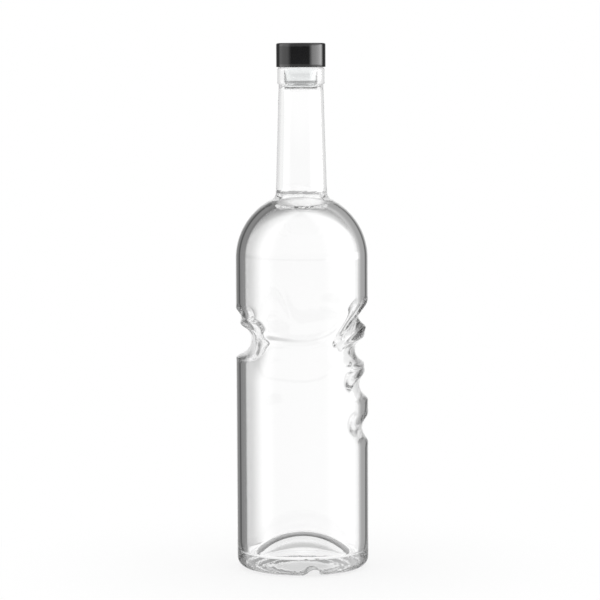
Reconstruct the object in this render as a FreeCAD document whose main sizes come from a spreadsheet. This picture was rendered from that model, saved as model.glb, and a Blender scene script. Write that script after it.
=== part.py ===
import FreeCAD, Part
import os
from FreeCAD import Placement, Rotation, Vector
import Sketcher

# Clear bottle with a hand-grip barrel and a push-in stopper, in millimetres.
# Z is up from the table, -Y is the front, and the fingers' grooves are on +X.
DIMENSIONS = {
    "body_radius": 40.0,
    "glass_wall": 5.9,
    "shoulder_height": 188.3,
    "heel_round": 6.5,
    "bearing_inner": 31.5,
    "punt_height": 15.0,
    "floor_height": 21.5,
    "floor_edge": 7.0,
    "floor_round": 2.0,
    "neck_foot_radius": 15.6,
    "neck_top_radius": 13.5,
    "neck_wall": 4.0,
    "neck_round": 5.0,
    "ring_radius": 14.3,
    "ring_height": 292.9,
    "ring_step": 0.8,
    "lip_height": 303.4,
    "lip_round": 1.6,
    "bore_radius": 10.2,
    "bore_length": 24.0,
    "bore_overrun": 5.0,
    "grip_wall": 2.6,
    "grip_round": 3.0,
    "inner_grip_round": 2.5,
    "notch_radius": 4.6,
    "notch_turn": 10.0,
    "notch_start": 24.0,
    "notch_length": 24.0,
    "seat_gap": 0.05,
    "cap_radius": 14.9,
    "cap_height": 14.5,
    "cap_wall": 1.4,
    "cap_roof": 1.8,
    "cap_round": 1.0,
    "cap_rim_round": 0.3,
    "core_radius": 12.9,
    "core_height": 9.8,
    "core_web": 2.4,
    "core_skirt": 1.6,
    "spigot_length": 2.0,
    "spigot_bite": 0.05,
    "rib_bite": 0.05,
    "rib_width": 1.2,
    "rib_count": 12,
    "flange_radius": 13.2,
    "flange_height": 2.6,
    "shank_clearance": 0.05,
    "shank_length": 12.6,
    "shank_wall": 1.3,
    "shank_round": 1.2,
}

# Direction of each groove's deepest point from +X, with the lean and the sweep of its ring, in degrees,
# then its height, depth, radius and how far the ring is set off the bottle's axis
GRIP_SIZES = ("turn", "lean", "sweep", "height", "depth", "radius", "reach")
GRIPS = {
    "waist": (-5.0, 0.0, 360.0, 131.0, 3.0, 60.0, 32.0),
    "index": (-2.0, 40.0, 150.0, 154.4, 6.0, 7.5, 10.0),
    "middle": (-6.0, 0.0, 360.0, 132.4, 8.0, 8.0, 30.0),
    "ring_finger": (0.0, 0.0, 360.0, 111.5, 5.2, 9.0, 40.0),
    "little": (0.0, 0.0, 360.0, 85.3, 3.6, 9.0, 40.0),
    "thumb": (180.0, 0.0, 360.0, 139.2, 9.2, 10.0, 55.0),
    "thumb_tip": (180.0, 0.0, 360.0, 152.3, 3.0, 5.5, 55.0),
}
OUTER_GRIPS = list(GRIPS)
INNER_GRIPS = [grip for grip in GRIPS if grip != "thumb_tip"]
for grip, sizes in GRIPS.items():
    for word, value in zip(GRIP_SIZES, sizes):
        DIMENSIONS["%s_%s" % (grip, word)] = value

doc = FreeCAD.newDocument("hand_grip_bottle")
sheet = doc.addObject("Spreadsheet::Sheet", "dims")
for row, (alias, value) in enumerate(DIMENSIONS.items(), start=1):
    sheet.set("A%d" % row, alias)
    sheet.set("B%d" % row, str(value))
    sheet.setAlias("B%d" % row, alias)
doc.recompute()


def amount(terms):
    """Give the number that a sum such as 'body_radius - glass_wall' comes to."""
    total = 0.0
    sign = 1
    for word in terms.split():
        if word == "+":
            sign = 1
        elif word == "-":
            sign = -1
        else:
            total += sign * float(sheet.get(word))
    return total


def formula(terms):
    """Write the same sum as an expression on the sheet."""
    return " ".join(word if word in "+-" else "dims." + word for word in terms.split())


def origin_plane(body, role):
    """Find the named plane of a body's own origin."""
    for feature in body.Origin.OriginFeatures:
        if feature.Role == role:
            return feature


def corner_points(corners, domes):
    """Work out the corners of a profile, and the centre heights of its domes."""
    points = []
    centres = {}
    for number, (radius_terms, height_terms) in enumerate(corners):
        radius = amount(radius_terms) if radius_terms else 0.0
        before = number - 1
        if height_terms is None:
            centres[before] = amount(domes[before])
            reach = points[before].distanceToPoint(Vector(0, centres[before], 0))
            height = centres[before] + (reach ** 2 - radius ** 2) ** 0.5
        else:
            height = amount(height_terms) if height_terms else 0.0
        points.append(Vector(radius, height, 0))
    for number in domes:
        if number not in centres:
            start = points[number]
            end = points[number + 1]
            rise = start.y - end.y
            centres[number] = (start.x ** 2 - end.x ** 2 + start.y ** 2 - end.y ** 2) / (2 * rise)
    return points, centres


def fix_corner(sketch, place, terms, direction, axis):
    """Bind one coordinate of a sketch point, or put it on the axis where it is zero."""
    if terms is None:
        return
    if terms == "":
        sketch.addConstraint(Sketcher.Constraint("PointOnObject", place[0], place[1], axis))
        return
    index = sketch.addConstraint(
        Sketcher.Constraint(direction, -1, 1, place[0], place[1], amount(terms)))
    sketch.setExpression("Constraints[%d]" % index, formula(terms))


def profile_sketch(body, name, corners, domes):
    """Draw a closed lathe profile; a dome is an arc with its centre on the axis."""
    sketch = body.newObject("Sketcher::SketchObject", name)
    sketch.AttachmentSupport = (origin_plane(body, "YZ_Plane"), [""])
    sketch.MapMode = "FlatFace"
    points, centres = corner_points(corners, domes)
    ends = []
    for number, start in enumerate(points):
        end = points[(number + 1) % len(points)]
        if number in domes:
            centre = Vector(0, centres[number], 0)
            angles = []
            for point in (start, end):
                angles.append(Vector(1, 0, 0).getAngle(point - centre) * (1 if point.y >= centre.y else -1))
            circle = Part.Circle(centre, Vector(0, 0, 1), start.distanceToPoint(centre))
            geometry = sketch.addGeometry(Part.ArcOfCircle(circle, min(angles), max(angles)))
            forward = angles[0] < angles[1]
            sketch.addConstraint(Sketcher.Constraint("PointOnObject", geometry, 3, -2))
            if domes[number]:
                fix_corner(sketch, (geometry, 3), domes[number], "DistanceY", -1)
        else:
            geometry = sketch.addGeometry(Part.LineSegment(start, end))
            forward = True
        ends.append((geometry, 1, 2) if forward else (geometry, 2, 1))
    for number, (geometry, first, last) in enumerate(ends):
        following = ends[(number + 1) % len(ends)]
        sketch.addConstraint(
            Sketcher.Constraint("Coincident", geometry, last, following[0], following[1]))
    for (geometry, first, last), (radius_terms, height_terms) in zip(ends, corners):
        fix_corner(sketch, (geometry, first), radius_terms, "DistanceX", -2)
        fix_corner(sketch, (geometry, first), height_terms, "DistanceY", -1)
    return sketch


def lathe_body(name, corners, domes=None):
    """Turn a closed profile about Z as the first feature of a new body."""
    body = doc.addObject("PartDesign::Body", name)
    body.Label = name
    sketch = profile_sketch(body, name + "_profile", corners, domes or {})
    turned = body.newObject("PartDesign::Revolution", name + "_turned")
    turned.Profile = sketch
    turned.ReferenceAxis = (sketch, ["V_Axis"])
    turned.Angle = 360.0
    sketch.Visibility = False
    doc.recompute()
    return body


def round_rims(body, name, rims, radius_terms):
    """Round the circular edges of a body that lie at the given radii and heights."""
    base = body.Tip
    names = []
    for number, edge in enumerate(base.Shape.Edges, start=1):
        if edge.Degenerated or not isinstance(edge.Curve, Part.Circle):
            continue
        for radius, height in rims:
            if abs(edge.Curve.Radius - radius) < 0.01 and abs(edge.Curve.Center.z - height) < 0.01:
                names.append("Edge%d" % number)
    rounded = body.newObject("PartDesign::Fillet", name)
    rounded.Base = (base, names)
    rounded.setExpression("Radius", formula(radius_terms))
    doc.recompute()


def dome_rim_height(radius_terms, dome_radius_terms):
    """Height at which the shoulder's dome reaches a radius."""
    dome = amount(dome_radius_terms)
    return amount("shoulder_height") + (dome ** 2 - amount(radius_terms) ** 2) ** 0.5


def outside_blank():
    """Outside of the glass before the hand is pressed into it."""
    body = lathe_body("outside_blank", [
        ("", "punt_height"),
        ("bearing_inner", ""),
        ("body_radius", ""),
        ("body_radius", "shoulder_height"),
        ("neck_foot_radius", None),
        ("neck_top_radius", "ring_height"),
        ("ring_radius", "ring_height + ring_step"),
        ("ring_radius", "lip_height"),
        ("", "lip_height"),
    ], {0: "", 3: "shoulder_height"})
    foot = dome_rim_height("neck_foot_radius", "body_radius")
    round_rims(body, "heel", [(amount("body_radius"), 0.0)], "heel_round")
    round_rims(body, "neck_blend", [(amount("neck_foot_radius"), foot)], "neck_round")
    round_rims(body, "lip", [(amount("ring_radius"), amount("lip_height"))], "lip_round")
    return body


def inside_blank():
    """Room inside the glass before the hand is pressed into it."""
    body = lathe_body("inside_blank", [
        ("", "floor_height"),
        ("body_radius - glass_wall", "floor_edge"),
        ("body_radius - glass_wall", "shoulder_height"),
        ("neck_foot_radius - neck_wall", None),
        ("bore_radius", "lip_height - bore_length"),
        ("bore_radius", "lip_height + bore_overrun"),
        ("", "lip_height + bore_overrun"),
    ], {0: "", 2: "shoulder_height"})
    foot = dome_rim_height("neck_foot_radius - neck_wall", "body_radius - glass_wall")
    round_rims(body, "floor_corner", [(amount("body_radius - glass_wall"), amount("floor_edge"))],
               "floor_round")
    round_rims(body, "neck_inner_blend", [(amount("neck_foot_radius - neck_wall"), foot)],
               "neck_round + glass_wall")
    return body


def grip_tool(grip, name, extra_terms=""):
    """Stretch of a ring that presses one groove, set off the axis so that the groove fades at both ends."""
    size = {word: "dims.%s_%s" % (grip, word) for word in GRIP_SIZES}
    nearest = formula("body_radius + {0}_radius - {0}_depth".format(grip))
    ring = "(%s + %s)" % (nearest, size["reach"])
    aside = "(%s - %s * cos(%s))" % (nearest, ring, size["lean"])
    # The circle starts on the ring's outer side, which keeps its seam out of the groove
    circle = doc.addObject("Part::Circle", name + "_circle")
    circle.setExpression("Radius", formula("%s_radius %s" % (grip, extra_terms)))
    circle.Placement = Placement(Vector(), Rotation(Vector(1, 0, 0), 90))
    circle.setExpression("Placement.Base.x", ring)
    tool = doc.addObject("Part::Revolution", name)
    tool.Source = circle
    tool.Axis = Vector(0, 0, 1)
    tool.Solid = True
    tool.setExpression("Angle", size["sweep"])
    begin = Rotation(Vector(0, 0, 1), -amount(grip + "_sweep") / 2)
    lean = Rotation(Vector(0, 1, 0), -amount(grip + "_lean"))
    turn = Rotation(Vector(0, 0, 1), amount(grip + "_turn"))
    tool.Placement = Placement(Vector(), turn * lean * begin)
    tool.setExpression("Placement.Base.x", "%s * cos(%s)" % (aside, size["turn"]))
    tool.setExpression("Placement.Base.y", "%s * sin(%s)" % (aside, size["turn"]))
    tool.setExpression("Placement.Base.z", "%s - %s * sin(%s)" % (size["height"], ring, size["lean"]))
    return tool


def cut(name, base, tool):
    """Cut one object from another."""
    result = doc.addObject("Part::Cut", name)
    result.Base = base
    result.Tool = tool
    doc.recompute()
    return result


def press_grips(blank, prefix, grips, round_name, extra_terms=""):
    """Cut grooves from a blank in turn, then round the edges that they leave."""
    pressed = blank
    for grip in grips:
        tool = grip_tool(grip, "%s_%s_tool" % (prefix, grip), extra_terms)
        pressed = cut("%s_%s_groove" % (prefix, grip), pressed, tool)
    rounded = doc.addObject("Part::Fillet", prefix + "_grip_rounding")
    rounded.Base = pressed
    radius = amount(round_name)
    edges = []
    for number, edge in enumerate(pressed.Shape.Edges, start=1):
        faces = pressed.Shape.ancestorsOfType(edge, Part.Face)
        kinds = [face.Surface.TypeId for face in faces]
        lowest = edge.BoundBox.ZMin
        highest = edge.BoundBox.ZMax
        in_barrel = lowest > amount("heel_round") and highest < amount("shoulder_height")
        if len(faces) == 2 and "Part::GeomToroid" in kinds and in_barrel:
            edges.append((number, radius, radius))
    rounded.Edges = edges
    doc.recompute()
    return rounded


def bottle_glass():
    """Glass bottle: pressed outside less pressed inside, with the notch on the heel."""
    outside = press_grips(outside_blank(), "outside", OUTER_GRIPS, "grip_round")
    inside = press_grips(inside_blank(), "inside", INNER_GRIPS, "inner_grip_round", "+ grip_wall")
    hollow = cut("hollow_glass", outside, inside)
    notch = doc.addObject("Part::Cylinder", "heel_notch")
    notch.setExpression("Radius", formula("notch_radius"))
    notch.setExpression("Height", formula("notch_length"))
    turn = Rotation(Vector(0, 0, 1), amount("notch_turn"))
    lay = Rotation(Vector(1, 0, 0), 90)
    notch.Placement = Placement(turn.multVec(Vector(0, -amount("notch_start"), 0)), turn * lay)
    bottle = cut("bottle_glass", hollow, notch)
    bottle.Label = "bottle_glass"
    return bottle


def cap_shell():
    """Outer cup of the stopper's head."""
    bottom = "lip_height + seat_gap"
    body = lathe_body("cap_shell", [
        ("cap_radius - cap_wall", bottom),
        ("cap_radius", bottom),
        ("cap_radius", "lip_height + cap_height"),
        ("", "lip_height + cap_height"),
        ("", "lip_height + cap_height - cap_roof"),
        ("cap_radius - cap_wall", "lip_height + cap_height - cap_roof"),
    ])
    round_rims(body, "cap_edge", [(amount("cap_radius"), amount("lip_height + cap_height"))], "cap_round")
    round_rims(body, "cap_rim", [(amount("cap_radius"), amount(bottom))], "cap_rim_round")
    return body


def cap_core():
    """Insert that crush ribs hold in the cup, with a spigot that holds the hollow plug."""
    bottom = "lip_height + seat_gap + flange_height"
    spigot = "bore_radius - shank_clearance - shank_wall + spigot_bite"
    body = lathe_body("cap_core", [
        ("", bottom + " - spigot_length"),
        (spigot, bottom + " - spigot_length"),
        (spigot, bottom),
        ("core_radius", bottom),
        ("core_radius", bottom + " + core_height"),
        ("core_radius - core_skirt", bottom + " + core_height"),
        ("core_radius - core_skirt", bottom + " + core_web"),
        ("", bottom + " + core_web"),
    ])
    sketch = body.newObject("Sketcher::SketchObject", "crush_rib_outline")
    sketch.AttachmentSupport = (origin_plane(body, "XY_Plane"), [""])
    sketch.MapMode = "FlatFace"
    sketch.setExpression("AttachmentOffset.Base.z", formula(bottom))
    inner = amount("core_radius - core_skirt")
    outer = amount("cap_radius - cap_wall + rib_bite")
    half = amount("rib_width") / 2
    points = [Vector(inner, -half, 0), Vector(outer, -half, 0),
              Vector(outer, half, 0), Vector(inner, half, 0)]
    for number, start in enumerate(points):
        sketch.addGeometry(Part.LineSegment(start, points[(number + 1) % 4]))
    for number in range(4):
        sketch.addConstraint(Sketcher.Constraint("Coincident", number, 2, (number + 1) % 4, 1))
    sketch.addConstraint(Sketcher.Constraint("Horizontal", 0))
    sketch.addConstraint(Sketcher.Constraint("Horizontal", 2))
    sketch.addConstraint(Sketcher.Constraint("Vertical", 3))
    sketch.addConstraint(Sketcher.Constraint("Symmetric", 1, 1, 1, 2, -1))
    fix_corner(sketch, (1, 1), "cap_radius - cap_wall + rib_bite", "DistanceX", -2)
    fix_corner(sketch, (0, 1), "core_radius - core_skirt", "DistanceX", -2)
    width = sketch.addConstraint(Sketcher.Constraint("DistanceY", 1, 1, 1, 2, amount("rib_width")))
    sketch.setExpression("Constraints[%d]" % width, formula("rib_width"))
    rib = body.newObject("PartDesign::Pad", "crush_rib")
    rib.Profile = sketch
    rib.setExpression("Length", formula("core_height"))
    sketch.Visibility = False
    doc.recompute()
    ring = body.newObject("PartDesign::PolarPattern", "crush_ribs")
    ring.Originals = [rib]
    ring.Axis = (sketch, ["N_Axis"])
    ring.Angle = 360.0
    ring.setExpression("Occurrences", formula("rib_count"))
    body.Tip = ring
    doc.recompute()
    return body


def stopper_plug():
    """Plug with a flange that seals on the lip and a hollow shank, closed at its lower end."""
    seat = "lip_height + seat_gap"
    top = seat + " + flange_height"
    tip = seat + " - shank_length"
    outer = "bore_radius - shank_clearance"
    hollow = outer + " - shank_wall"
    body = lathe_body("stopper_plug", [
        ("", tip),
        (outer, tip),
        (outer, seat),
        ("flange_radius", seat),
        ("flange_radius", top),
        (hollow, top),
        (hollow, tip + " + shank_wall"),
        ("", tip + " + shank_wall"),
    ])
    round_rims(body, "plug_tip", [(amount(outer), amount(tip))], "shank_round")
    return body


def check_document():
    """Stop when any object failed to recompute."""
    for item in doc.Objects:
        if "Invalid" in item.State or "Error" in item.State:
            raise RuntimeError("%s did not recompute" % item.Name)


def write_parts(parts):
    """Write each sub-part to its own file."""
    os.makedirs("parts", exist_ok=True)
    for part in parts:
        shape = part.Shape
        if shape.isNull() or not shape.isValid() or len(shape.Solids) != 1:
            raise RuntimeError("%s is not one sound solid" % part.Label)
        shape.exportStep("parts/%s.step" % part.Label)


PARTS = [bottle_glass(), cap_shell(), cap_core(), stopper_plug()]
check_document()
write_parts(PARTS)
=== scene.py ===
import math

import bmesh
import bpy
from bpy.props import FloatProperty, FloatVectorProperty, IntProperty, PointerProperty
from mathutils import Euler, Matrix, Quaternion, Vector


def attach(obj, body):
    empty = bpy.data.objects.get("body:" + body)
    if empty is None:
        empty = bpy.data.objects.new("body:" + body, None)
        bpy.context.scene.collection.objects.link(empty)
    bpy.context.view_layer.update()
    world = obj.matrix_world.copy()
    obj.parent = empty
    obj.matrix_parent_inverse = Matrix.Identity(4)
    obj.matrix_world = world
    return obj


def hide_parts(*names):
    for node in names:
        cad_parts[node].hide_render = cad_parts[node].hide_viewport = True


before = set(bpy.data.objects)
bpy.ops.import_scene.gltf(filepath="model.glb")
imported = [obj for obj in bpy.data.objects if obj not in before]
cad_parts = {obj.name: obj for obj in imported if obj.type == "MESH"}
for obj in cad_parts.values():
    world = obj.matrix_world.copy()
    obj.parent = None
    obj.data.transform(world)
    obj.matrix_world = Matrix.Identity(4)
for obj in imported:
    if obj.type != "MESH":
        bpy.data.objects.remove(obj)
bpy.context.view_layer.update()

bl_info = {
    "name": "Hand grip bottle",
    "version": (1, 0, 0),
    "blender": (4, 5, 0),
    "location": "View3D > Sidebar > Bottle",
    "description": "Clear bottle with a hand pressed into its barrel and a black push-in stopper",
    "category": "Add Mesh",
}

MM = 0.001

# Groove, direction of its deepest point from +X in degrees, then in millimetres its height, depth,
# radius and how far its circle is set off the axis
GRIPS = (
    ("waist", -5.0, 131.0, 3.0, 60.0, 32.0),
    ("index", -2.0, 154.4, 6.0, 7.5, 20.0),
    ("middle", -6.0, 132.4, 8.0, 8.0, 30.0),
    ("ring_finger", 0.0, 111.5, 5.2, 9.0, 40.0),
    ("little", 0.0, 85.3, 3.6, 9.0, 40.0),
    ("thumb", 180.0, 139.2, 9.2, 10.0, 55.0),
    ("thumb_tip", 180.0, 152.3, 3.0, 5.5, 55.0),
)

# The barrel has close rows of points between these heights, where the grooves are
GRIP_FOOT = 66.0 * MM
GRIP_TOP = 176.0 * MM
GRIP_ROWS = 104

# The ledge: how its rise grows and its depth shrinks towards +X, where its step starts and ends and
# where it fades, in half widths below its line, and how far towards the front it starts and is full
LEDGE_SLANT = 1.2
LEDGE_LEAN = 0.2
LEDGE_STEP = (-1.5, 1.5)
LEDGE_FADE = (0.0, 9.0)
LEDGE_FRONT = (0.65, 0.88)

# The heel notch starts this far from the axis, and its edge is this soft
NOTCH_START = 24.0 * MM
NOTCH_BLEND = 0.5 * MM

# Points of the turned glass that lie closer than this are one
MERGE_DISTANCE = 0.002 * MM

# The rippled band at the neck's foot: lowest, highest and softness. Where the pebbled heel fades out
RIPPLED = (221.0 * MM, 231.0 * MM, 3.0 * MM)
PEBBLED = (3.0 * MM, 10.0 * MM)
RIPPLE_WEIGHT = 9.0
PEBBLE_WEIGHT = 6.0

GLASS_IOR = 1.52
PLASTIC_IOR = 1.5
CAP_SEGMENTS = 160
PLUG_SEGMENTS = 128
CARD_SEGMENTS = 192
FLOOR_SEGMENTS = 128
FLOOR_DROP = 0.05 * MM

# Faces that bent light has crossed, lowest, highest and softness: light that stays in the wall,
# that goes through the bottle and that goes through the base
IN_WALL = (0.5, 2.5, 0.2)
THROUGH = (2.5, 4.5, 0.2)
THROUGH_BASE = (4.5, 6.5, 0.2)
PAST_BASE = (6.5, 7.0)

# Painted shade for the glass's edges: shade of the card for light in the wall on each side, then
# bands of it: how far to the side of the middle the light passes in millimetres, lowest, highest and
# softness, and the shade that is added
LEFT_SHADE = 0.72
LEFT_BANDS = ((37.4, 38.3, 0.3, 0.19), (34.3, 35.3, 0.3, 0.06))
RIGHT_SHADE = 0.52
RIGHT_BANDS = ((33.6, 35.2, 1.2, -0.25), (38.2, 39.0, 0.3, 0.34))

# The card's other limits for its painted shade: half the width over which left turns to right, the path
# lengths over which the edge's shade is eased and the sides' shade ends, and the heights over which the
# collar's starts
CARD_TURN = 15.0 * MM
CARD_EASE = (15.0 * MM, 19.0 * MM, 0.6)
CARD_NEAR = (9.2 * MM, 10.2 * MM)
CARD_COLLAR = (205.0 * MM, 215.0 * MM)

# Painted shades of the card for light through the bottle, on its sides and round the top of the
# shoulder: millimetres to the side of the middle where each starts and is full, and how dark it is
LEFT_SIDE_SHADE = (23.0, 36.0, 0.7)
RIGHT_SIDE_SHADE = (31.5, 34.5, 0.2)
COLLAR_SHADE = (30.0, 35.0, 0.6)

# Painted reflections of lights, which light nothing, by bearing from straight behind the bottle in
# degrees: lowest, highest and softness. Their strengths, how fast the right one falls off, and the
# level of the painted reflection beside them
PAINTED_LEFT_REFLECTION = (-124.0, -62.0, 12.0)
PAINTED_RIGHT_REFLECTION = (66.0, 133.0, 12.0)
PAINTED_BACKDROP_REFLECTION = (-18.0, 18.0, 10.0)
LEFT_STRENGTH = 1.5
RIGHT_STRENGTH = 10.0
RIGHT_FALL = 0.045
DIM = 0.16

# The wide painted reflection of light beside the bottle: bearings where it starts and is full, and the
# gap in it at eye level. The strip of heights in which the right painted reflection is strongest, and
# its share elsewhere
BESIDE = (56.0, 72.0)
EYE_GAP = (-1.2, 2.0, 0.6)
STRIP = (-2.5, 3.5, 1.0)
OFF_STRIP = 0.25

# Painted shades that bent light shows in the glass's walls, heel, base and punt, by how steeply it rises
# in degrees: where each starts and is full, or its lowest, highest and softness, and how dark it is
WALL_SHADE = 0.14
HIGH_WALL_SHADE = (50.0, 58.0, 0.6)
INNER_WALL_SHADE = (6.0, 10.0, 0.45)
HEEL_SHADE = (25.0, 35.0, 0.38)
BASE_SHADE_BANDS = ((-4.0, 20.5, 1.5, 0.95),)
PUNT_SHADE_BANDS = ((4.0, 13.0, 2.0, 0.65), (13.0, 20.5, 1.5, 0.3))
PUNT_TOP_SHADE = (28.0, 31.0, 0.6)


def size(name, default, description):
    """A length in millimetres that a user can change."""
    return FloatProperty(name=name, description=description, default=default * MM, min=0.0,
                         unit="LENGTH", subtype="DISTANCE", precision=5)


def tint(name, default, description):
    """A colour that a user can change."""
    return FloatVectorProperty(name=name, description=description, default=default, min=0.0, max=1.0,
                               size=4, subtype="COLOR")


class GlassSettings(bpy.types.PropertyGroup):
    """Sizes and colour of the glass"""
    body_radius: size("Body radius", 40.0, "Radius of the barrel and of the round shoulder")
    wall: size("Wall", 5.9, "Thickness of the glass in the barrel")
    shoulder_height: size("Shoulder height", 188.3, "Height at which the shoulder starts to round in")
    heel_round: size("Heel", 6.5, "Radius between the barrel and the bearing ring")
    bearing_inner: size("Bearing ring", 31.5, "Inner radius of the ring that the bottle stands on")
    punt_height: size("Punt", 15.0, "Height of the pushed-up underside")
    floor_height: size("Floor", 21.5, "Height of the middle of the floor inside")
    floor_edge: size("Floor edge", 7.0, "Height at which the floor's dome would meet the wall")
    floor_round: size("Floor corner", 2.0, "Radius between the floor and the wall inside")
    neck_foot_radius: size("Neck foot", 15.6, "Outer radius of the neck where it leaves the shoulder")
    neck_top_radius: size("Neck top", 13.5, "Outer radius of the neck under the ring")
    neck_wall: size("Neck wall", 4.0, "Thickness of the glass at the foot of the neck")
    neck_round: size("Neck blend", 5.0, "Radius between the shoulder and the neck")
    ring_radius: size("Ring radius", 14.3, "Outer radius of the ring under the stopper")
    ring_height: size("Ring height", 292.9, "Height of the lower edge of the ring")
    ring_step: size("Ring step", 0.8, "Height of the bevel under the ring")
    lip_height: size("Lip height", 303.4, "Height of the lip that the stopper rests on")
    lip_round: size("Lip round", 1.6, "Radius of the outer edge of the lip")
    bore_radius: size("Bore", 10.2, "Radius of the bore that the plug fills")
    bore_length: size("Bore length", 24.0, "Length of the straight bore")
    grip_blend: size("Grip blend", 4.0, "Softness of the edges of the grooves")
    grip_wall: size("Grip wall", 2.6, "Thickness of the glass under the grooves")
    index_dip: FloatProperty(name="Index dip", description="How fast the index groove dips round the sides",
                             default=12.0, min=0.0)
    ledge_height: size("Ledge height", 141.5, "Height of the soft ledge in the middle of the front")
    ledge_rise: size("Ledge rise", 27.0, "How much higher the ledge is at the sides")
    ledge_depth: size("Ledge depth", 2.7, "Depth of the soft ledge")
    ledge_width: size("Ledge width", 3.0, "Half width of the soft ledge")
    notch_radius: size("Heel notch", 4.6, "Radius of the half-round notch on the heel")
    notch_turn: FloatProperty(name="Notch turn", description="Turn of the notch from the front",
                              default=math.radians(10.0), subtype="ANGLE", unit="ROTATION")
    segments: IntProperty(name="Segments", description="Faces around the bottle", default=192, min=24)
    glass_tint: tint("Glass", (1.0, 1.0, 1.0, 1.0), "Colour of the glass")


class StopperSettings(bpy.types.PropertyGroup):
    """Sizes and colours of the stopper"""
    cap_radius: size("Cap radius", 14.9, "Outer radius of the black cup")
    cap_top: size("Cap top", 317.9, "Height of the top of the cup")
    cap_bottom: size("Cap bottom", 303.45, "Height of the rim of the cup")
    cap_wall: size("Cap wall", 1.4, "Thickness of the cup's wall")
    cap_roof: size("Cap roof", 1.8, "Thickness of the cup's top")
    cap_round: size("Cap edge", 1.0, "Radius of the cup's upper edge")
    flange_radius: size("Flange", 13.2, "Radius of the flange that seals on the lip")
    flange_height: size("Flange height", 2.6, "Thickness of the flange")
    shank_radius: size("Shank", 10.15, "Outer radius of the hollow shank in the bore")
    shank_length: size("Shank length", 12.6, "Length of the shank below the flange")
    shank_wall: size("Shank wall", 1.3, "Thickness of the shank's wall")
    shank_round: size("Shank edge", 1.2, "Radius of the shank's lower edge")
    cap_black: tint("Cap", (0.004, 0.004, 0.0045, 1.0), "Colour of the cup")
    core_black: tint("Insert", (0.03, 0.03, 0.032, 1.0), "Colour of the insert inside the cup")
    plug_tint: tint("Plug", (0.96, 0.97, 0.97, 1.0), "Colour of the clear plug")


class StudioSettings(bpy.types.PropertyGroup):
    """Sizes of the stage and place of the camera"""
    floor_radius: size("Floor radius", 220.0, "Radius of the round floor")
    floor_white: tint("Floor white", (0.95, 0.95, 0.95, 1.0), "Colour of the floor")
    # The card's sizes: it paints shade into the glass, and only light bent by the glass meets it
    card_gap: size("Card gap", 5.0, "Distance from the glass to the dark card round it")
    card_foot: size("Card foot", 2.0, "Height of the lower edge of the card")
    card_neck: size("Card neck", 20.0, "Radius of the card's opening round the neck")
    glass_bounces: IntProperty(name="Bounces", description="Turns that light may take inside the glass",
                               default=40, min=12)
    camera_distance: size("Camera distance", 1620.0, "Level distance from the camera to the bottle's axis")
    camera_height: size("Camera height", 304.0, "Height of the camera above the floor")
    camera_pitch: FloatProperty(name="Camera pitch", description="How far the camera looks down",
                                default=math.radians(4.98), subtype="ANGLE", unit="ROTATION")
    camera_roll: FloatProperty(name="Camera roll", description="Turn of the camera about its own view",
                               default=math.radians(-0.26), subtype="ANGLE", unit="ROTATION")
    camera_yaw: FloatProperty(name="Camera yaw", description="Turn of the camera to the side",
                              default=math.radians(0.041), subtype="ANGLE", unit="ROTATION")
    camera_lens: FloatProperty(name="Lens", description="Focal length in millimetres",
                               default=161.0, min=1.0)


class Value:
    """A node's output that takes part in sums."""

    def __init__(self, graph, socket):
        self.graph = graph
        self.socket = socket

    def maths(self, operation, *others):
        """Add one Math node on this value and the others."""
        node = self.graph.add("ShaderNodeMath", {"operation": operation},
                              dict(enumerate((self,) + others)))
        return self.graph.out(node)

    def __add__(self, other):
        return self.maths("ADD", other)

    __radd__ = __add__

    def __sub__(self, other):
        return self.maths("SUBTRACT", other)

    def __rsub__(self, other):
        return (-1.0 * self) + other

    def __mul__(self, other):
        return self.maths("MULTIPLY", other)

    __rmul__ = __mul__

    def __truediv__(self, other):
        return self.maths("DIVIDE", other)

    def __rtruediv__(self, other):
        return self.maths("POWER", -1.0) * other

    def root(self):
        """Square root, taking anything below zero as zero."""
        return self.maths("MAXIMUM", 0.0).maths("SQRT")


class Graph:
    """A node tree that gives its nodes and their outputs."""

    def __init__(self, tree):
        self.tree = tree

    def add(self, kind, settings=None, sockets=None):
        """Add a node, set it up, then give its sockets values or links."""
        node = self.tree.nodes.new(kind)
        for name, value in (settings or {}).items():
            setattr(node, name, value)
        for name, value in (sockets or {}).items():
            socket = node.inputs[name]
            if isinstance(value, Value):
                self.tree.links.new(value.socket, socket)
            else:
                socket.default_value = value
        return node

    def out(self, node, name=0):
        """One output of a node as a value."""
        return Value(self, node.outputs[name])


def arc(centre, radius, start, end, count):
    """Points on an arc, angles in degrees, both ends included."""
    points = []
    for step in range(count + 1):
        angle = math.radians(start + (end - start) * step / count)
        points.append((centre[0] + radius * math.cos(angle), centre[1] + radius * math.sin(angle)))
    return points


def run(start, end, count):
    """Points along a straight run, without its first."""
    return [(start[0] + (end[0] - start[0]) * step / count, start[1] + (end[1] - start[1]) * step / count)
            for step in range(1, count + 1)]


def angle_of(point, centre):
    """Direction of a point from a centre, in degrees."""
    return math.degrees(math.atan2(point[1] - centre[1], point[0] - centre[0]))


def neck_fillet(dome_height, dome_radius, foot, top, radius):
    """Centre of the arc that blends a dome into the neck, and its ends on the dome and the neck."""
    along = Vector((top[0] - foot[0], top[1] - foot[1])).normalized()
    outward = Vector((along.y, -along.x))
    begin = Vector(foot) + radius * outward - Vector((0.0, dome_height))
    reach = dome_radius + radius
    half = begin.dot(along)
    travel = -half + math.sqrt(half * half - begin.dot(begin) + reach * reach)
    centre = Vector(foot) + radius * outward + travel * along
    on_dome = Vector((0.0, dome_height)) + (centre - Vector((0.0, dome_height))) * dome_radius / reach
    on_neck = centre - radius * outward
    return tuple(centre), tuple(on_dome), tuple(on_neck)


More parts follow.
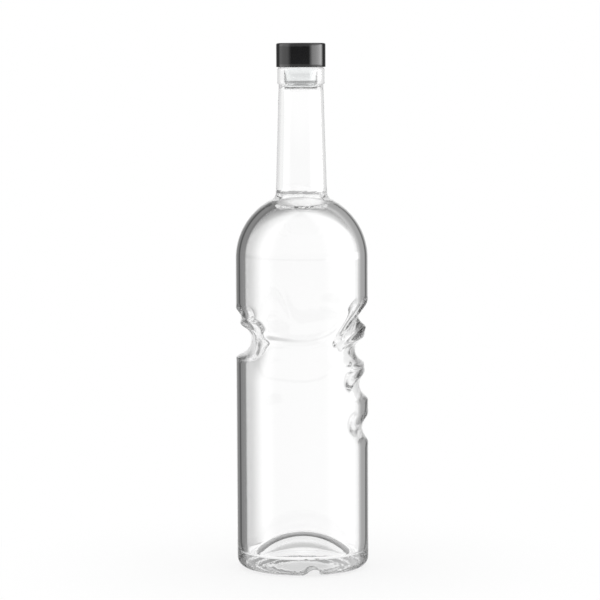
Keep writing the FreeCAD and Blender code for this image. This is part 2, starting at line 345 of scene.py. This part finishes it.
def shoulder_and_neck(dome_height, dome_radius, foot_radius, top, radius):
    """Points from the foot of a shoulder's dome up to the top of the neck."""
    foot = (foot_radius, dome_height + math.sqrt(dome_radius ** 2 - foot_radius ** 2))
    centre, on_dome, on_neck = neck_fillet(dome_height, dome_radius, foot, top, radius)
    dome = arc((0.0, dome_height), dome_radius, 0.0, angle_of(on_dome, (0.0, dome_height)), 40)
    blend = arc(centre, radius, angle_of(on_dome, centre) % 360.0, angle_of(on_neck, centre) % 360.0, 14)
    return dome + blend[1:] + run(on_neck, top, 16)


def dome_centre(top, edge):
    """Height of the centre of the arc through a point on the axis and one off it."""
    return (top * top - edge[0] ** 2 - edge[1] ** 2) / (2.0 * (top - edge[1]))


def outer_profile(glass):
    """Outside of the bottle, from the middle of the underside to the lip's inner edge."""
    bearing = (glass.bearing_inner, 0.0)
    centre = (0.0, dome_centre(glass.punt_height, bearing))
    radius = glass.punt_height - centre[1]
    points = arc(centre, radius, 90.0, angle_of(bearing, centre), 26)
    flat_end = (glass.body_radius - glass.heel_round, 0.0)
    points += run(bearing, flat_end, 6)
    points += arc((flat_end[0], glass.heel_round), glass.heel_round, -90.0, 0.0, 16)[1:]
    points += run(points[-1], (glass.body_radius, GRIP_FOOT), 14)
    points += run(points[-1], (glass.body_radius, GRIP_TOP), GRIP_ROWS)
    points += run(points[-1], (glass.body_radius, glass.shoulder_height), 3)
    neck_top = (glass.neck_top_radius, glass.ring_height)
    points += shoulder_and_neck(glass.shoulder_height, glass.body_radius, glass.neck_foot_radius,
                                neck_top, glass.neck_round)[1:]
    ring = (glass.ring_radius, glass.ring_height + glass.ring_step)
    points += run(neck_top, ring, 3)
    edge = glass.lip_height - glass.lip_round
    points += run(ring, (glass.ring_radius, edge), 4)
    points += arc((glass.ring_radius - glass.lip_round, edge), glass.lip_round, 0.0, 90.0, 8)[1:]
    return points


def inner_profile(glass):
    """Inside of the bottle, from the lip's inner edge to the middle of the floor."""
    radius = glass.body_radius - glass.wall
    rim = 0.8 * MM
    bore_top = (glass.bore_radius, glass.lip_height - rim)
    bore_foot = (glass.bore_radius, glass.lip_height - glass.bore_length)
    lip = arc((glass.bore_radius + rim, glass.lip_height - rim), rim, 90.0, 180.0, 5)
    points = lip + run(bore_top, bore_foot, 10)
    neck = shoulder_and_neck(glass.shoulder_height, radius, glass.neck_foot_radius - glass.neck_wall,
                             bore_foot, glass.neck_round + glass.wall)
    points += neck[::-1][1:]
    points += run(points[-1], (radius, GRIP_TOP), 3)
    points += run(points[-1], (radius, GRIP_FOOT), GRIP_ROWS)
    corner = glass.floor_round
    centre = (0.0, dome_centre(glass.floor_height, (radius, glass.floor_edge)))
    dome = glass.floor_height - centre[1]
    middle = (radius - corner, centre[1] + math.sqrt((dome + corner) ** 2 - (radius - corner) ** 2))
    points += run(points[-1], (radius, middle[1]), 12)
    tangent = angle_of(middle, centre)
    points += arc(middle, corner, 0.0, tangent - 180.0, 12)[1:]
    points += arc(centre, dome, tangent, 90.0, 28)[1:]
    return points


def profile_object(name, points, insets):
    """A strip of points whose inset is 0 on the outer wall and 1 on the inner one."""
    mesh = bpy.data.meshes.new(name)
    mesh.from_pydata([(radius, 0.0, height) for radius, height in points],
                     [(step, step + 1) for step in range(len(points) - 1)], [])
    layer = mesh.attributes.new("inset", "FLOAT", "POINT")
    layer.data.foreach_set("value", insets)
    obj = bpy.data.objects.new(name, mesh)
    bpy.context.scene.collection.objects.link(obj)
    return obj


def sampled(graph, geometry, field, kind, row):
    """A field of the profile, read at a row of it."""
    node = graph.add("GeometryNodeSampleIndex", {"data_type": kind, "domain": "POINT"},
                     {"Geometry": geometry, "Value": field, "Index": row})
    return graph.out(node)


def separated(graph, vector):
    """The three parts of a vector."""
    node = graph.add("ShaderNodeSeparateXYZ", None, {"Vector": vector})
    return [graph.out(node, axis) for axis in ("X", "Y", "Z")]


def grip_wall(inputs, name, turn, place, inset):
    """Distance from the axis to one groove's wall: a round bar bent in a circle set off the axis."""
    across, along, height = place
    depth = inputs[name + " depth"]
    radius = inputs[name + " radius"]
    facing = across * math.cos(turn) + along * math.sin(turn)
    beside = along * math.cos(turn) - across * math.sin(turn)
    reach = inputs[name + " reach"]
    circle = inputs["Body radius"] + radius - depth + reach
    swing = reach * beside
    centre = (circle * circle - swing * swing).root() - reach * facing
    level = inputs[name + " height"]
    if name == "index":
        aside = along * centre
        level = level - inputs["Index dip"] * aside * aside
    off = height - level
    bar = radius + inputs["Grip wall"] * inset
    rise = bar * bar - off * off
    return centre - rise.root() + (0.0 - rise).root()


def smooth_step(graph, value, low, high):
    """Rise smoothly from 0 to 1 as a value goes from low to high."""
    node = graph.add("ShaderNodeMapRange", {"interpolation_type": "SMOOTHSTEP"},
                     {"Value": value, "From Min": low, "From Max": high})
    return graph.out(node)


def between(graph, value, low, high, soft):
    """1 where a value lies between two limits, with soft edges."""
    rise = smooth_step(graph, value, low - soft, low + soft)
    return rise * (1.0 - smooth_step(graph, value, high - soft, high + soft))


def shaded(graph, value, low, high, level):
    """Rise smoothly from 0 to a level as a value goes from low to high."""
    return smooth_step(graph, value, low, high) * level


def banded(graph, value, level, bands):
    """A level with soft bands added to it."""
    for low, high, soft, change in bands:
        level = level + between(graph, value, low, high, soft) * change
    return level


def lathe_tree(inputs_wanted, count):
    """Node group that turns the profile about Z, presses the hand into it and notches the heel."""
    tree = bpy.data.node_groups.new("pressed_bottle", "GeometryNodeTree")
    tree.interface.new_socket("Profile", in_out="INPUT", socket_type="NodeSocketGeometry")
    identifiers = {}
    for name, (kind, default) in inputs_wanted.items():
        socket = tree.interface.new_socket(name, in_out="INPUT", socket_type=kind)
        if default is not None:
            socket.default_value = default
        identifiers[name] = socket.identifier
    tree.interface.new_socket("Bottle", in_out="OUTPUT", socket_type="NodeSocketGeometry")
    graph = Graph(tree)
    entry = graph.add("NodeGroupInput")
    inputs = {name: graph.out(entry, name) for name in inputs_wanted}
    profile = graph.out(entry, "Profile")
    segments = inputs["Segments"]
    grid = graph.add("GeometryNodeMeshGrid", None, {"Vertices X": segments + 1.0, "Vertices Y": count})
    index = graph.out(graph.add("GeometryNodeInputIndex"))
    row = index.maths("MODULO", float(count))
    angle = (index / float(count)).maths("FLOOR") * (2.0 * math.pi) / segments
    position = graph.out(graph.add("GeometryNodeInputPosition"))
    inset_field = graph.out(graph.add("GeometryNodeInputNamedAttribute", {"data_type": "FLOAT"},
                                      {"Name": "inset"}))
    radius, _, height = separated(graph, sampled(graph, profile, position, "FLOAT_VECTOR", row))
    inset = sampled(graph, profile, inset_field, "FLOAT", row)
    across = angle.maths("COSINE")
    along = angle.maths("SINE")
    place = (across, along, height)
    pressed = radius
    for name, turn, *_ in GRIPS:
        wall = grip_wall(inputs, name, math.radians(turn), place, inset)
        pressed = pressed.maths("SMOOTH_MIN", wall, inputs["Grip blend"] * (1.0 + inset))
    outer = 1.0 - inset
    ledge = inputs["Ledge height"] + inputs["Ledge rise"] * (along + 1.0) * (1.0 + across * LEDGE_SLANT)
    below = (ledge - height) / inputs["Ledge width"]
    step = smooth_step(graph, below, *LEDGE_STEP) * (1.0 - smooth_step(graph, below, *LEDGE_FADE))
    front = smooth_step(graph, 0.0 - along, *LEDGE_FRONT)
    pressed = pressed - inputs["Ledge depth"] * (1.0 - across * LEDGE_LEAN) * front * outer * step
    notch = inputs["Notch radius"]
    turn = inputs["Notch turn"]
    beside = pressed * (across * turn.maths("COSINE") + along * turn.maths("SINE"))
    facing = pressed * (across * turn.maths("SINE") - along * turn.maths("COSINE"))
    arch = (notch * notch - beside * beside).root() * facing.maths("GREATER_THAN", NOTCH_START)
    lift = height.maths("SMOOTH_MAX", arch, NOTCH_BLEND) - height
    level = height + lift * outer * arch.maths("GREATER_THAN", 0.0)
    spot = graph.add("ShaderNodeCombineXYZ", None,
                     {"X": pressed * across, "Y": pressed * along, "Z": level})
    turned = graph.add("GeometryNodeSetPosition", None,
                       {"Geometry": graph.out(grid, "Mesh"), "Position": graph.out(spot)})
    merged = graph.add("GeometryNodeMergeByDistance", None,
                       {"Geometry": graph.out(turned), "Distance": MERGE_DISTANCE})
    smooth = graph.add("GeometryNodeSetShadeSmooth", None, {"Geometry": graph.out(merged)})
    real = graph.add("GeometryNodeRealizeInstances", None, {"Geometry": graph.out(smooth)})
    painted = graph.add("GeometryNodeSetMaterial", None,
                        {"Geometry": graph.out(real), "Material": inputs["Material"]})
    graph.add("NodeGroupOutput", None, {"Bottle": graph.out(painted)})
    return tree, identifiers


def plain_mesh(obj, name):
    """Turn an object with a live modifier into a plain mesh piece whose faces point outwards."""
    bpy.context.view_layer.update()
    evaluated = obj.evaluated_get(bpy.context.evaluated_depsgraph_get())
    mesh = bpy.data.meshes.new_from_object(evaluated)
    mesh.name = name
    profile = obj.data
    obj.modifiers.clear()
    obj.data = mesh
    obj.name = name
    bpy.data.meshes.remove(profile)
    face_outwards(mesh)
    return obj


def face_outwards(mesh):
    """Point the faces of a closed mesh outwards."""
    work = bmesh.new()
    work.from_mesh(mesh)
    if work.calc_volume(signed=True) < 0.0:
        bmesh.ops.reverse_faces(work, faces=work.faces[:])
    work.to_mesh(mesh)
    work.free()


def turned_piece(name, points, segments, material):
    """A piece turned about Z, closed where its profile starts and ends on the axis."""
    work = bmesh.new()
    rings = []
    for radius, height in points:
        if radius < 1e-7:
            rings.append([work.verts.new((0.0, 0.0, height))])
            continue
        ring = []
        for step in range(segments):
            angle = 2.0 * math.pi * step / segments
            ring.append(work.verts.new((radius * math.cos(angle), radius * math.sin(angle), height)))
        rings.append(ring)
    for low, high in zip(rings, rings[1:]):
        for step in range(segments):
            following = (step + 1) % segments
            corners = [low[step % len(low)], low[following % len(low)],
                       high[following % len(high)], high[step % len(high)]]
            work.faces.new(list(dict.fromkeys(corners)))
    bmesh.ops.recalc_face_normals(work, faces=work.faces[:])
    mesh = bpy.data.meshes.new(name)
    work.to_mesh(mesh)
    work.free()
    mesh.polygons.foreach_set("use_smooth", [True] * len(mesh.polygons))
    mesh.materials.append(material)
    obj = bpy.data.objects.new(name, mesh)
    bpy.context.scene.collection.objects.link(obj)
    return obj


def fresh_material(name):
    """An empty node material and its graph."""
    material = bpy.data.materials.new(name)
    material.use_nodes = True
    material.node_tree.nodes.clear()
    return material, Graph(material.node_tree)


def show(graph, shader):
    """Connect a shader to the material's surface."""
    graph.add("ShaderNodeOutputMaterial", None, {"Surface": graph.out(shader)})


def object_place(graph, scale=(1.0, 1.0, 1.0)):
    """Object coordinates, stretched."""
    coordinate = graph.add("ShaderNodeTexCoord")
    mapping = graph.add("ShaderNodeMapping", {"vector_type": "POINT"},
                        {"Vector": graph.out(coordinate, "Object"), "Scale": scale})
    return graph.out(mapping)


def noise(graph, place, scale, detail=2.0, roughness=0.5):
    """Noise between 0 and 1."""
    node = graph.add("ShaderNodeTexNoise", {"noise_dimensions": "3D"},
                     {"Vector": place, "Scale": scale, "Detail": detail, "Roughness": roughness})
    return graph.out(node, "Fac")


def bumped(graph, height, strength, distance):
    """Normal bent by a height."""
    return graph.out(graph.add("ShaderNodeBump", None,
                               {"Height": height, "Strength": strength, "Distance": distance}))


def clear_glass(glass):
    """Fire-polished glass with faint long waves, ripples at the neck's foot and pebbles at the heel."""
    material, graph = fresh_material("clear_glass")
    place = object_place(graph)
    _, _, height = separated(graph, place)
    waves = noise(graph, object_place(graph, (1.0, 1.0, 0.35)), scale=38.0, detail=1.0)
    low = 1.0 - smooth_step(graph, height, *PEBBLED)
    collar = between(graph, height, *RIPPLED)
    ripples = noise(graph, object_place(graph, (1.0, 1.0, 3.0)), scale=150.0) * collar
    pebbles = noise(graph, place, scale=330.0) * low
    relief = waves + ripples * RIPPLE_WEIGHT + pebbles * PEBBLE_WEIGHT
    shader = graph.add("ShaderNodeBsdfPrincipled", None, {
        "Base Color": tuple(glass.glass_tint),
        "Roughness": 0.0,
        "IOR": GLASS_IOR,
        "Transmission Weight": 1.0,
        "Normal": bumped(graph, relief, strength=0.05, distance=0.4 * MM),
    })
    show(graph, shader)
    return material


def clear_polymer(stopper):
    """Clear soft plastic, slightly hazed."""
    material, graph = fresh_material("clear_polymer")
    place = object_place(graph)
    haze = noise(graph, place, scale=900.0, detail=3.0)
    shader = graph.add("ShaderNodeBsdfPrincipled", None, {
        "Base Color": tuple(stopper.plug_tint),
        "Roughness": haze * 0.05 + 0.03,
        "IOR": PLASTIC_IOR,
        "Transmission Weight": 1.0,
        "Normal": bumped(graph, noise(graph, place, scale=160.0), strength=0.05, distance=0.3 * MM),
    })
    show(graph, shader)
    return material


def gloss_black(stopper):
    """Polished black plastic with a faint orange peel and fine hairlines."""
    material, graph = fresh_material("cap_black")
    place = object_place(graph)
    peel = noise(graph, place, scale=420.0)
    lines = noise(graph, object_place(graph, (1.0, 1.0, 14.0)), scale=260.0, detail=4.0, roughness=0.65)
    smudge = noise(graph, place, scale=90.0, detail=3.0)
    shader = graph.add("ShaderNodeBsdfPrincipled", None, {
        "Base Color": tuple(stopper.cap_black),
        "Roughness": smudge * 0.06 + lines * 0.04 + 0.03,
        "IOR": PLASTIC_IOR,
        "Normal": bumped(graph, peel + lines * 0.4, strength=0.06, distance=0.2 * MM),
    })
    show(graph, shader)
    return material


def moulded_black(stopper):
    """Plain moulded insert with a fine grain."""
    material, graph = fresh_material("core_plastic")
    grain = noise(graph, object_place(graph), scale=1500.0, detail=3.0)
    shader = graph.add("ShaderNodeBsdfPrincipled", None, {
        "Base Color": tuple(stopper.core_black),
        "Roughness": grain * 0.2 + 0.45,
        "Normal": bumped(graph, grain, strength=0.15, distance=0.1 * MM),
    })
    show(graph, shader)
    return material


class BOTTLE_OT_glass(bpy.types.Operator):
    """Turn the glass, press the hand into it and notch the heel"""
    bl_idname = "bottle.make_glass"
    bl_label = "Make the glass"

    def execute(self, context):
        glass = context.scene.bottle_glass
        outside = outer_profile(glass)
        inside = inner_profile(glass)
        points = outside + inside
        insets = [0.0] * len(outside) + [1.0] * len(inside)
        points[0] = (0.0, points[0][1])
        points[-1] = (0.0, points[-1][1])
        obj = profile_object("bottle_profile", points, insets)
        wanted = {
            "Segments": ("NodeSocketInt", glass.segments),
            "Body radius": ("NodeSocketFloat", glass.body_radius),
            "Grip blend": ("NodeSocketFloat", glass.grip_blend),
            "Grip wall": ("NodeSocketFloat", glass.grip_wall),
            "Index dip": ("NodeSocketFloat", glass.index_dip),
            "Ledge height": ("NodeSocketFloat", glass.ledge_height),
            "Ledge rise": ("NodeSocketFloat", glass.ledge_rise),
            "Ledge depth": ("NodeSocketFloat", glass.ledge_depth),
            "Ledge width": ("NodeSocketFloat", glass.ledge_width),
            "Notch radius": ("NodeSocketFloat", glass.notch_radius),
            "Notch turn": ("NodeSocketFloat", glass.notch_turn),
            "Material": ("NodeSocketMaterial", None),
        }
        for name, _, *sizes in GRIPS:
            for word, value in zip(("height", "depth", "radius", "reach"), sizes):
                wanted["%s %s" % (name, word)] = ("NodeSocketFloat", value * MM)
        tree, identifiers = lathe_tree(wanted, len(points))
        press = obj.modifiers.new("pressed_bottle", "NODES")
        press.node_group = tree
        for name, (_, value) in wanted.items():
            press[identifiers[name]] = clear_glass(glass) if name == "Material" else value
        piece = plain_mesh(obj, "glass_body")
        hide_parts("bottle_glass")
        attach(piece, "bottle")
        return {"FINISHED"}


class BOTTLE_OT_cap(bpy.types.Operator):
    """Turn the black cup of the stopper's head"""
    bl_idname = "bottle.make_cap"
    bl_label = "Make the cup"

    def execute(self, context):
        stopper = context.scene.bottle_stopper
        inner = stopper.cap_radius - stopper.cap_wall
        roof = stopper.cap_top - stopper.cap_roof
        edge = stopper.cap_round
        rim = 0.3 * MM
        corner = 0.4 * MM
        points = [(0.0, roof), (inner - corner, roof), (inner, roof - corner)]
        points += run(points[-1], (inner, stopper.cap_bottom + rim), 4)
        points += arc((inner + rim, stopper.cap_bottom + rim), rim, 180.0, 270.0, 4)[1:]
        points += arc((stopper.cap_radius - rim, stopper.cap_bottom + rim), rim, -90.0, 0.0, 4)
        points += run(points[-1], (stopper.cap_radius, stopper.cap_top - edge), 8)
        points += arc((stopper.cap_radius - edge, stopper.cap_top - edge), edge, 0.0, 90.0, 8)[1:]
        points += run(points[-1], (0.0, stopper.cap_top), 6)
        piece = turned_piece("cap_cup", points, CAP_SEGMENTS, gloss_black(stopper))
        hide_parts("cap_shell")
        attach(piece, "stopper")
        return {"FINISHED"}


class BOTTLE_OT_plug(bpy.types.Operator):
    """Turn the clear plug with its flange and hollow shank"""
    bl_idname = "bottle.make_plug"
    bl_label = "Make the plug"

    def execute(self, context):
        stopper = context.scene.bottle_stopper
        seat = stopper.cap_bottom
        top = seat + stopper.flange_height
        tip = seat - stopper.shank_length
        soft = 0.25 * MM
        hollow = stopper.shank_radius - stopper.shank_wall
        tighter = 0.3 * MM
        inner_round = max(stopper.shank_round - tighter, soft)
        points = [(0.0, tip)]
        points += arc((stopper.shank_radius - stopper.shank_round, tip + stopper.shank_round),
                      stopper.shank_round, -90.0, 0.0, 8)
        points += [(stopper.shank_radius, seat - soft), (stopper.shank_radius + soft, seat)]
        points += arc((stopper.flange_radius - soft, seat + soft), soft, -90.0, 0.0, 4)
        points += arc((stopper.flange_radius - soft, top - soft), soft, 0.0, 90.0, 4)
        points += [(hollow + soft, top), (hollow, top - soft)]
        points += arc((hollow - inner_round, tip + stopper.shank_wall + inner_round),
                      inner_round, 0.0, -90.0, 8)
        points.append((0.0, tip + stopper.shank_wall))
        piece = turned_piece("clear_plug", points, PLUG_SEGMENTS, clear_polymer(stopper))
        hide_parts("stopper_plug")
        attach(piece, "stopper")
        return {"FINISHED"}


class BOTTLE_OT_core(bpy.types.Operator):
    """Give the insert inside the cup its moulded finish"""
    bl_idname = "bottle.finish_core"
    bl_label = "Finish the insert"

    def execute(self, context):
        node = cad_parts["cap_core"]
        node.data.materials.clear()
        node.data.materials.append(moulded_black(context.scene.bottle_stopper))
        return {"FINISHED"}


def floor_material(studio):
    """Pale floor that keeps the bottle's shadow and fades into the white beyond its rim."""
    material, graph = fresh_material("studio_floor")
    shaded = graph.add("ShaderNodeBsdfDiffuse", None, {"Color": tuple(studio.floor_white)})
    white = graph.add("ShaderNodeEmission", None, {"Color": (1.0, 1.0, 1.0, 1.0), "Strength": 1.0})
    clear = graph.add("ShaderNodeBsdfTransparent")
    path = graph.add("ShaderNodeLightPath")
    coordinate = graph.add("ShaderNodeTexCoord")
    x, y, _ = separated(graph, graph.out(coordinate, "Object"))
    away = (x * x + y * y).root() / studio.floor_radius
    lit = (smooth_step(graph, away, 0.3, 0.95) * 0.2 + 0.8) * graph.out(path, "Is Camera Ray")
    seen = graph.add("ShaderNodeMixShader", None, {0: lit, 1: graph.out(shaded), 2: graph.out(white)})
    show(graph, graph.add("ShaderNodeMixShader", None, {
        0: graph.out(path, "Is Glossy Ray"), 1: graph.out(seen), 2: graph.out(clear)}))
    return material


def make_floor(studio):
    """Round pale floor under the bottle."""
    work = bmesh.new()
    bmesh.ops.create_circle(work, cap_ends=True, segments=FLOOR_SEGMENTS, radius=studio.floor_radius)
    mesh = bpy.data.meshes.new("floor")
    work.to_mesh(mesh)
    work.free()
    mesh.materials.append(floor_material(studio))
    floor = bpy.data.objects.new("floor", mesh)
    floor.location.z = -FLOOR_DROP
    bpy.context.scene.collection.objects.link(floor)


def painted_shade_card_material(studio, barrel):
    """Painted shade in the glass: dark card that only bent light meets, by how far to the side it passed.
    """
    material, graph = fresh_material("painted_shade_card")
    geometry = graph.add("ShaderNodeNewGeometry")
    x, _, height = separated(graph, graph.out(geometry, "Position"))
    path = graph.add("ShaderNodeLightPath")
    length = graph.out(path, "Ray Length")
    radius = barrel + studio.card_gap
    # From the card back to where the light's line lies nearest the middle, found from its length
    back = (length + (radius ** 2 - barrel ** 2) / length) / 2.0
    # How far that is from the axis, or from the centre of the shoulder, in millimetres
    out = (radius ** 2 - back * back).root() / MM
    on_left = 1.0 - smooth_step(graph, x, -CARD_TURN, CARD_TURN)
    crossings = graph.out(path, "Transmission Depth")
    straight = graph.out(path, "Glossy Depth").maths("LESS_THAN", 0.5)
    wall_only = between(graph, crossings, *IN_WALL)
    through = between(graph, crossings, *THROUGH)
    # Painted shade in the glass's edges, with a different level on each side
    left_edge_shade = banded(graph, out, LEFT_SHADE, LEFT_BANDS)
    right_edge_shade = banded(graph, out, RIGHT_SHADE, RIGHT_BANDS)
    eased = 1.0 - shaded(graph, length, *CARD_EASE)
    edge = (right_edge_shade + (left_edge_shade - right_edge_shade) * on_left) * eased
    # Painted shade in the glass's sides, for light that goes through the bottle
    left_side_shade = shaded(graph, out, *LEFT_SIDE_SHADE) * on_left
    right_side_shade = shaded(graph, out, *RIGHT_SIDE_SHADE) * (1.0 - on_left)
    near = 1.0 - smooth_step(graph, length, *CARD_NEAR)
    side = (left_side_shade + right_side_shade) * straight * near
    # Painted shade round the top of the shoulder
    collar = smooth_step(graph, height, *CARD_COLLAR) * shaded(graph, out, *COLLAR_SHADE)
    shade = wall_only * edge + through * side.maths("MAXIMUM", collar)
    # Black where the card paints shade, clear elsewhere
    dark = graph.add("ShaderNodeBsdfDiffuse", None, {"Color": (0.0, 0.0, 0.0, 1.0)})
    clear = graph.add("ShaderNodeBsdfTransparent")
    show(graph, graph.add("ShaderNodeMixShader", None,
                          {0: shade, 1: graph.out(clear), 2: graph.out(dark)}))
    return material


def make_shade_card(studio, glass):
    """Dark card close round the barrel and shoulder that paints shade into light bent by the glass."""
    radius = glass.body_radius + studio.card_gap
    top = math.degrees(math.acos(studio.card_neck / radius))
    points = [(radius, studio.card_foot)] + arc((0.0, glass.shoulder_height), radius, 0.0, top, 32)
    card = turned_piece("card", points, CARD_SEGMENTS, painted_shade_card_material(studio, glass.body_radius))
    card.visible_camera = False
    card.visible_diffuse = False
    card.visible_glossy = False
    card.visible_shadow = False


def make_world():
    """White studio with painted reflections of side lights, which light nothing, and painted shades in bent
    light.
    """
    world = bpy.data.worlds.new("studio_world")
    world.use_nodes = True
    world.node_tree.nodes.clear()
    graph = Graph(world.node_tree)
    coordinate = graph.add("ShaderNodeTexCoord")
    x, y, z = separated(graph, graph.out(coordinate, "Generated"))
    bearing = x.maths("ARCTAN2", y) * (180.0 / math.pi)
    rise = z.maths("ARCSINE") * (180.0 / math.pi)
    # Painted reflections that only glossy rays see: side lights, backdrop and the wide light beside the
    # bottle
    left = between(graph, bearing, *PAINTED_LEFT_REFLECTION) * LEFT_STRENGTH
    right = between(graph, bearing, *PAINTED_RIGHT_REFLECTION) * (RIGHT_STRENGTH - bearing * RIGHT_FALL)
    backdrop = between(graph, bearing, *PAINTED_BACKDROP_REFLECTION)
    beside = smooth_step(graph, bearing.maths("ABSOLUTE"), *BESIDE)
    lit = beside * (1.0 - between(graph, rise, *EYE_GAP))
    strip = OFF_STRIP + between(graph, rise, *STRIP) * (1.0 - OFF_STRIP)
    painted_reflection = DIM + left + right * strip + backdrop.maths("MAXIMUM", lit) * (1.0 - DIM)
    path = graph.add("ShaderNodeLightPath")
    crossings = graph.out(path, "Transmission Depth")
    straight = graph.out(path, "Glossy Depth").maths("LESS_THAN", 0.5)
    turned = 1.0 - straight
    wall_only = between(graph, crossings, *IN_WALL)
    through = between(graph, crossings, *THROUGH)
    base = between(graph, crossings, *THROUGH_BASE)
    # Painted shades that bent light shows, by the faces of glass it has crossed and how steeply it rises
    edge = WALL_SHADE + shaded(graph, rise, *HIGH_WALL_SHADE)
    inner = shaded(graph, rise, *INNER_WALL_SHADE) * straight
    heel = shaded(graph, rise, *HEEL_SHADE) * turned
    dome = banded(graph, rise, 0.0, BASE_SHADE_BANDS) * turned
    punt_shade = banded(graph, rise, 0.0, PUNT_SHADE_BANDS) + shaded(graph, rise, *PUNT_TOP_SHADE)
    far = smooth_step(graph, crossings, *PAST_BASE) * punt_shade
    dark = wall_only * edge + through * (inner + heel) + base * dome + far
    refracted = graph.out(path, "Is Transmission Ray")
    glossy = graph.out(path, "Is Glossy Ray") * (1.0 - refracted)
    # Diffuse light stays at 1; bent light takes the painted shades, reflections the painted reflections
    strength = 1.0 - dark * refracted + (painted_reflection - 1.0) * glossy
    background = graph.add("ShaderNodeBackground", None,
                           {"Color": (1.0, 1.0, 1.0, 1.0), "Strength": strength})
    graph.add("ShaderNodeOutputWorld", None, {"Surface": graph.out(background)})
    bpy.context.scene.world = world


def make_camera(studio):
    """Camera at the photograph's viewing angle."""
    data = bpy.data.cameras.new("camera")
    data.lens = studio.camera_lens
    data.sensor_width = 36.0
    camera = bpy.data.objects.new("camera", data)
    camera.location = (0.0, -studio.camera_distance, studio.camera_height)
    look = Euler((math.pi / 2.0 - studio.camera_pitch, 0.0, studio.camera_yaw)).to_quaternion()
    camera.rotation_euler = (look @ Quaternion((0.0, 0.0, 1.0), studio.camera_roll)).to_euler()
    bpy.context.scene.collection.objects.link(camera)
    bpy.context.scene.camera = camera


class BOTTLE_OT_studio(bpy.types.Operator):
    """Set the floor, the shade-painting card, the world's light with painted reflections, and the camera"""
    bl_idname = "bottle.make_studio"
    bl_label = "Set the studio"

    def execute(self, context):
        studio = context.scene.bottle_studio
        make_floor(studio)
        make_shade_card(studio, context.scene.bottle_glass)
        make_world()
        make_camera(studio)
        context.scene.view_settings.view_transform = "Standard"
        light_paths = context.scene.cycles
        light_paths.max_bounces = studio.glass_bounces
        light_paths.glossy_bounces = studio.glass_bounces
        light_paths.transmission_bounces = studio.glass_bounces
        return {"FINISHED"}


class BOTTLE_PT_panel(bpy.types.Panel):
    """Sizes and steps of the bottle"""
    bl_idname = "BOTTLE_PT_panel"
    bl_label = "Bottle"
    bl_space_type = "VIEW_3D"
    bl_region_type = "UI"
    bl_category = "Bottle"

    def draw(self, context):
        for step in STEPS:
            self.layout.operator(step.bl_idname)
        for group, _ in SETTINGS:
            settings = getattr(context.scene, group)
            for name in settings.__annotations__:
                self.layout.prop(settings, name)


STEPS = (BOTTLE_OT_glass, BOTTLE_OT_cap, BOTTLE_OT_plug, BOTTLE_OT_core, BOTTLE_OT_studio)
SETTINGS = (
    ("bottle_glass", GlassSettings),
    ("bottle_stopper", StopperSettings),
    ("bottle_studio", StudioSettings),
)


def register():
    """Add the settings, the steps and the panel to Blender."""
    for name, group in SETTINGS:
        bpy.utils.register_class(group)
        setattr(bpy.types.Scene, name, PointerProperty(type=group))
    for step in STEPS:
        bpy.utils.register_class(step)
    bpy.utils.register_class(BOTTLE_PT_panel)


def unregister():
    """Take the panel, the steps and the settings out again."""
    bpy.utils.unregister_class(BOTTLE_PT_panel)
    for step in reversed(STEPS):
        bpy.utils.unregister_class(step)
    for name, group in reversed(SETTINGS):
        delattr(bpy.types.Scene, name)
        bpy.utils.unregister_class(group)


def main():
    """Make every piece and the stage."""
    register()
    bpy.ops.bottle.make_glass()
    bpy.ops.bottle.make_cap()
    bpy.ops.bottle.make_plug()
    bpy.ops.bottle.finish_core()
    bpy.ops.bottle.make_studio()


if __name__ == "__main__":
    main()
